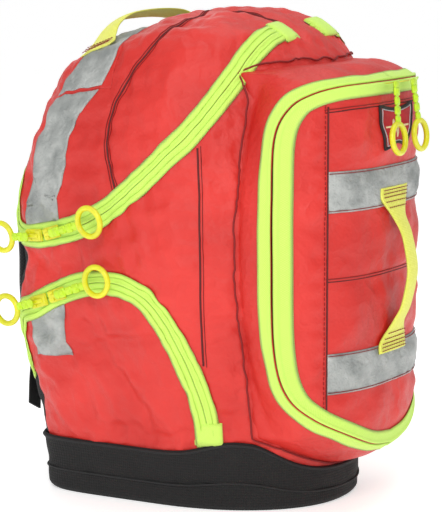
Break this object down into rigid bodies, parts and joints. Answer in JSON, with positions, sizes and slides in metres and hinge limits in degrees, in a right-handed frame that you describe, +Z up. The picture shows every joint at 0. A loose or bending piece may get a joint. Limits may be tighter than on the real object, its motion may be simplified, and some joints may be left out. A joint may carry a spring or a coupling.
{
  "type": "trauma backpack",
  "caption": "Tall stuffed emergency backpack with zipped side wings, a zipped front pocket door, reflective stripes, grab handles and a black boot base.",
  "frame": {"origin": "centre of the flat underside of the boot, level with the floor it stands on", "axes": "+Z up, -Y to the front with the outer pocket, +Y to the wearer's back, -X to the wearer's left"},
  "size_m": [0.4054, 0.4534, 0.5301],
  "materials": {
    "red_coated_fabric": "satin vinyl-coated fabric",
    "lime_zip": "woven tape and moulded coil",
    "yellow_pull": "soft moulded",
    "reflective_tape": "silver reflective",
    "yellow_webbing": "woven webbing",
    "black_ballistic_fabric": "coarse weave",
    "black_webbing": "woven webbing",
    "spacer_mesh": "spacer mesh",
    "emblem": "moulded rubber",
    "frame_plastic": "extruded sheet",
    "black_plastic": "moulded"
  },
  "bodies": {
    "pack": {"base_boot": "black_ballistic_fabric", "base_board": "black_plastic", "front_wall": "red_coated_fabric", "top_yoke": "red_coated_fabric", "back_wall": "black_ballistic_fabric", "side_wall_left": "red_coated_fabric", "side_wall_right": "red_coated_fabric", "frame_sheet": "frame_plastic", "divider_shelf": "red_coated_fabric", "zip_upper_left": "lime_zip", "zip_upper_right": "lime_zip", "zip_lower_left": "lime_zip", "zip_lower_right": "lime_zip", "stripe_top": "reflective_tape", "pocket_gusset": "red_coated_fabric", "zip_front": "lime_zip", "top_handle": "yellow_webbing", "back_pad": "spacer_mesh", "lumbar_pad": "spacer_mesh", "shoulder_strap_left": "spacer_mesh", "shoulder_strap_right": "spacer_mesh", "ladder_lock_left": "black_plastic", "ladder_lock_right": "black_plastic", "strap_web_left": "black_webbing", "strap_web_right": "black_webbing"},
    "lid": {"front_lid": "red_coated_fabric", "band_upper": "reflective_tape", "band_lower": "reflective_tape", "patch": "emblem", "front_handle": "yellow_webbing"},
    "wing_upper_left": {"wing_upper_left": "red_coated_fabric", "stripe_upper_left": "reflective_tape"},
    "wing_lower_left": {"wing_lower_left": "red_coated_fabric", "stripe_lower_left": "reflective_tape"},
    "wing_upper_right": {"wing_upper_right": "red_coated_fabric", "stripe_upper_right": "reflective_tape"},
    "wing_lower_right": {"wing_lower_right": "red_coated_fabric", "stripe_lower_right": "reflective_tape"},
    "slider_upper_front_left": {"slider_upper_front_left": "lime_zip"},
    "pull_upper_front_left": {"pull_upper_front_left": "yellow_pull"},
    "slider_upper_front_right": {"slider_upper_front_right": "lime_zip"},
    "pull_upper_front_right": {"pull_upper_front_right": "yellow_pull"},
    "slider_upper_rear_left": {"slider_upper_rear_left": "lime_zip"},
    "pull_upper_rear_left": {"pull_upper_rear_left": "yellow_pull"},
    "slider_upper_rear_right": {"slider_upper_rear_right": "lime_zip"},
    "pull_upper_rear_right": {"pull_upper_rear_right": "yellow_pull"},
    "slider_lower_front_left": {"slider_lower_front_left": "lime_zip"},
    "pull_lower_front_left": {"pull_lower_front_left": "yellow_pull"},
    "slider_lower_front_right": {"slider_lower_front_right": "lime_zip"},
    "pull_lower_front_right": {"pull_lower_front_right": "yellow_pull"},
    "slider_lower_rear_left": {"slider_lower_rear_left": "lime_zip"},
    "pull_lower_rear_left": {"pull_lower_rear_left": "yellow_pull"},
    "slider_lower_rear_right": {"slider_lower_rear_right": "lime_zip"},
    "pull_lower_rear_right": {"pull_lower_rear_right": "yellow_pull"},
    "slider_front_left": {"slider_front_left": "lime_zip"},
    "slider_front_right": {"slider_front_right": "lime_zip"},
    "pull_front_left": {"pull_front_left": "yellow_pull"},
    "pull_front_right": {"pull_front_right": "yellow_pull"}
  },
  "joints": [
    {"name": "lid_hinge", "type": "hinge", "parent": "pack", "child": "lid", "pos_m": [0.147, -0.16, 0.264], "axis": [0, 0, 1], "range_deg": [0, 100]},
    {"name": "wing_upper_hinge_left", "type": "hinge", "parent": "pack", "child": "wing_upper_left", "pos_m": [-0.027, 0, 0.531], "axis": [0, 1, 0], "range_deg": [0, 70]},
    {"name": "wing_lower_hinge_left", "type": "hinge", "parent": "pack", "child": "wing_lower_left", "pos_m": [-0.136, 0.04, 0.062], "axis": [0, -1, 0], "range_deg": [0, 80]},
    {"name": "wing_upper_hinge_right", "type": "hinge", "parent": "pack", "child": "wing_upper_right", "pos_m": [0.027, 0, 0.531], "axis": [0, -1, 0], "range_deg": [0, 70]},
    {"name": "wing_lower_hinge_right", "type": "hinge", "parent": "pack", "child": "wing_lower_right", "pos_m": [0.136, 0.04, 0.062], "axis": [0, 1, 0], "range_deg": [0, 80]},
    {"name": "slider_travel_upper_front_left", "type": "slide", "parent": "wing_upper_left", "child": "slider_upper_front_left", "axis": [-0.1722, -0.9435, 0.2833], "range_m": [0, 0.045]},
    {"name": "pull_swing_upper_front_left", "type": "hinge", "parent": "slider_upper_front_left", "child": "pull_upper_front_left", "pos_m": [-0.18711, 0.09292, 0.2967], "axis": [0.081, -0.3001, -0.9505], "range_deg": [0, 120]},
    {"name": "slider_travel_upper_front_right", "type": "slide", "parent": "wing_upper_right", "child": "slider_upper_front_right", "axis": [0.1722, -0.9435, 0.2833], "range_m": [0, 0.045]},
    {"name": "pull_swing_upper_front_right", "type": "hinge", "parent": "slider_upper_front_right", "child": "pull_upper_front_right", "pos_m": [0.18711, 0.09292, 0.2967], "axis": [0.081, 0.3001, 0.9505], "range_deg": [0, 120]},
    {"name": "slider_travel_upper_rear_left", "type": "slide", "parent": "wing_upper_left", "child": "slider_upper_rear_left", "axis": [0.1667, 0.9827, -0.0801], "range_m": [0, 0.015]},
    {"name": "pull_swing_upper_rear_left", "type": "hinge", "parent": "slider_upper_rear_left", "child": "pull_upper_rear_left", "pos_m": [-0.18089, 0.12793, 0.28971], "axis": [-0.1257, 0.1017, 0.9868], "range_deg": [0, 120]},
    {"name": "slider_travel_upper_rear_right", "type": "slide", "parent": "wing_upper_right", "child": "slider_upper_rear_right", "axis": [-0.1667, 0.9827, -0.0801], "range_m": [0, 0.015]},
    {"name": "pull_swing_upper_rear_right", "type": "hinge", "parent": "slider_upper_rear_right", "child": "pull_upper_rear_right", "pos_m": [0.18089, 0.12793, 0.28971], "axis": [-0.1257, -0.1017, -0.9868], "range_deg": [0, 120]},
    {"name": "slider_travel_lower_front_left", "type": "slide", "parent": "wing_lower_left", "child": "slider_lower_front_left", "axis": [-0.1006, -0.9376, 0.3328], "range_m": [0, 0.04]},
    {"name": "pull_swing_lower_front_left", "type": "hinge", "parent": "slider_lower_front_left", "child": "pull_lower_front_left", "pos_m": [-0.18153, 0.09036, 0.22985], "axis": [-0.0005, -0.3344, -0.9424], "range_deg": [0, 120]},
    {"name": "slider_travel_lower_front_right", "type": "slide", "parent": "wing_lower_right", "child": "slider_lower_front_right", "axis": [0.1006, -0.9376, 0.3328], "range_m": [0, 0.04]},
    {"name": "pull_swing_lower_front_right", "type": "hinge", "parent": "slider_lower_front_right", "child": "pull_lower_front_right", "pos_m": [0.18153, 0.09036, 0.22985], "axis": [-0.0005, 0.3344, 0.9424], "range_deg": [0, 120]},
    {"name": "slider_travel_lower_rear_left", "type": "slide", "parent": "wing_lower_left", "child": "slider_lower_rear_left", "axis": [0.1082, 0.95, -0.293], "range_m": [0, 0.015]},
    {"name": "pull_swing_lower_rear_left", "type": "hinge", "parent": "slider_lower_rear_left", "child": "pull_lower_rear_left", "pos_m": [-0.17771, 0.12465, 0.21776], "axis": [-0.0072, 0.2955, 0.9553], "range_deg": [0, 120]},
    {"name": "slider_travel_lower_rear_right", "type": "slide", "parent": "wing_lower_right", "child": "slider_lower_rear_right", "axis": [-0.1082, 0.95, -0.293], "range_m": [0, 0.015]},
    {"name": "pull_swing_lower_rear_right", "type": "hinge", "parent": "slider_lower_rear_right", "child": "pull_lower_rear_right", "pos_m": [0.17771, 0.12465, 0.21776], "axis": [-0.0072, -0.2955, -0.9553], "range_deg": [0, 120]},
    {"name": "slider_travel_front_left", "type": "slide", "parent": "lid", "child": "slider_front_left", "axis": [-1, 0, 0], "range_m": [0, 0.06]},
    {"name": "pull_swing_front_left", "type": "hinge", "parent": "slider_front_left", "child": "pull_front_left", "pos_m": [-0.02058, -0.23193, 0.45839], "axis": [-0.9951, 0.0118, 0.0981], "range_deg": [0, 120]},
    {"name": "slider_travel_front_right", "type": "slide", "parent": "lid", "child": "slider_front_right", "axis": [1, 0, 0], "range_m": [0, 0.06]},
    {"name": "pull_swing_front_right", "type": "hinge", "parent": "slider_front_right", "child": "pull_front_right", "pos_m": [0.02058, -0.23193, 0.45839], "axis": [-0.9951, -0.0118, -0.0981], "range_deg": [0, 120]}
  ]
}
